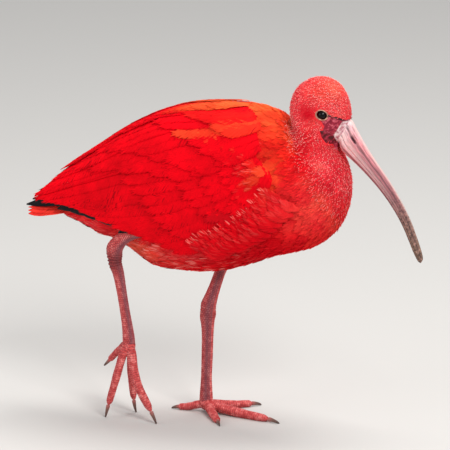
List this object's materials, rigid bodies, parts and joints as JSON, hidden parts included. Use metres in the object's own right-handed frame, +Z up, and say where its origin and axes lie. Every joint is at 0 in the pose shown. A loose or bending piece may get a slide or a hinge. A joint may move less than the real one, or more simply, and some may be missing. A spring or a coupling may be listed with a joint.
{
  "type": "scarlet ibis",
  "caption": "Life-size model of a scarlet ibis in mid stride: red plumage, folded wings with black primary tips, long down-curved bill, one foot flat and the other on its claws.",
  "frame": {"origin": "on the floor, under the middle of the bird's bounding box", "axes": "+X the way the bird walks and its bill points, +Y to the bird's left, +Z up"},
  "size_m": [0.3882, 0.1098, 0.342],
  "materials": {
    "scarlet_plumage": "soft body feathers",
    "scarlet_wing": "smooth wing feathers",
    "bill_horn": "satin horn",
    "leg_scales": "scaled skin",
    "claw_horn": "dark horn",
    "eye_dark": "wet, glossy",
    "black_feather": "glossy black feathers"
  },
  "bodies": {
    "root": {"bill_lower": "bill_horn", "bill_upper": "bill_horn", "claw_left_hallux": "claw_horn", "claw_left_inner": "claw_horn", "claw_left_middle": "claw_horn", "claw_left_outer": "claw_horn", "claw_right_hallux": "claw_horn", "claw_right_inner": "claw_horn", "claw_right_middle": "claw_horn", "claw_right_outer": "claw_horn", "eye_left": "eye_dark", "eye_right": "eye_dark", "foot_left": "leg_scales", "foot_right": "leg_scales", "head": "scarlet_plumage", "neck_lower": "scarlet_plumage", "neck_upper": "scarlet_plumage", "primaries_left": "black_feather", "primaries_right": "black_feather", "tail": "scarlet_plumage", "tarsus_left": "leg_scales", "tarsus_right": "leg_scales", "thigh_left": "scarlet_plumage", "thigh_right": "scarlet_plumage", "tibia_left": "leg_scales", "tibia_right": "leg_scales", "toe_left_hallux": "leg_scales", "toe_left_inner": "leg_scales", "toe_left_middle": "leg_scales", "toe_left_outer": "leg_scales", "toe_right_hallux": "leg_scales", "toe_right_inner": "leg_scales", "toe_right_middle": "leg_scales", "toe_right_outer": "leg_scales", "torso": "scarlet_plumage", "wing_left": "scarlet_wing", "wing_right": "scarlet_wing"}
  },
  "joints": []
}
